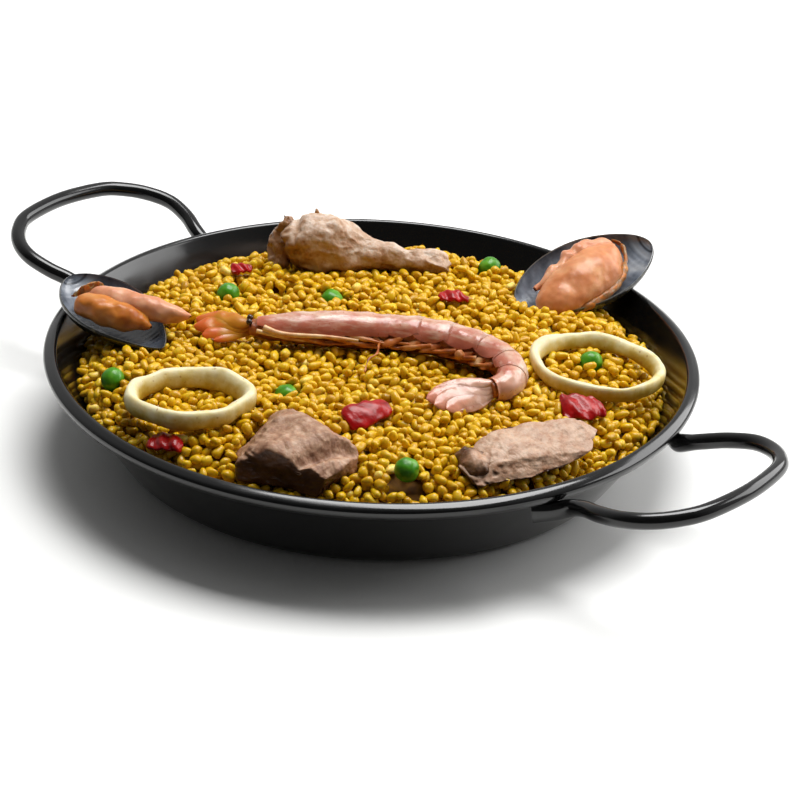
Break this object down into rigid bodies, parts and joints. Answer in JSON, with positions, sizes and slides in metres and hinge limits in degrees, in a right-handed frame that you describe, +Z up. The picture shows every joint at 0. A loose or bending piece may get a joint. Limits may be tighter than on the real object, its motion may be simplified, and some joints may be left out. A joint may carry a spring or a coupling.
{
  "type": "paella in a pan",
  "caption": "Round enamelled steel paella pan with a loop handle on each side, filled with saffron rice and topped with prawn, mussels, squid rings, chicken, pork, peas and red pepper.",
  "frame": {"origin": "on the table, under the middle of the pan's flat base", "axes": "+X out through the right handle, +Y away from the diner towards the drumette, +Z up"},
  "size_m": [0.3394, 0.2478, 0.0572],
  "materials": {
    "black_enamel": "glossy black vitreous enamel",
    "saffron_rice": "moist saffron-yellow rice grains",
    "mussel_shell": "blue-black shell, pearly grey inside",
    "mussel_meat": "moist orange meat",
    "cooked_prawn": "pale pink shell with orange-red underside",
    "cooked_squid": "cream, firm and moist",
    "cooked_chicken": "pinkish-beige cooked chicken",
    "braised_pork": "greyish-brown braised pork with visible fibres",
    "green_pea": "smooth green skin",
    "red_pepper": "soft, oily red pepper"
  },
  "bodies": {
    "root": {"pan": "black_enamel", "handle_left": "black_enamel", "handle_right": "black_enamel", "rice": "saffron_rice", "prawn": "cooked_prawn", "chicken_drumette": "cooked_chicken", "chicken_piece": "cooked_chicken", "pork_piece": "braised_pork", "mussel_left": "mussel_shell", "mussel_left_meat": "mussel_meat", "mussel_right": "mussel_shell", "mussel_right_meat": "mussel_meat", "squid_ring_left": "cooked_squid", "squid_ring_right": "cooked_squid", "pea_left": "green_pea", "pea_back_left": "green_pea", "pea_back": "green_pea", "pea_centre": "green_pea", "pea_front": "green_pea", "pea_far": "green_pea", "pea_in_ring": "green_pea", "pepper_centre": "red_pepper", "pepper_right": "red_pepper", "pepper_left": "red_pepper", "pepper_back": "red_pepper", "pepper_far": "red_pepper"}
  },
  "joints": []
}
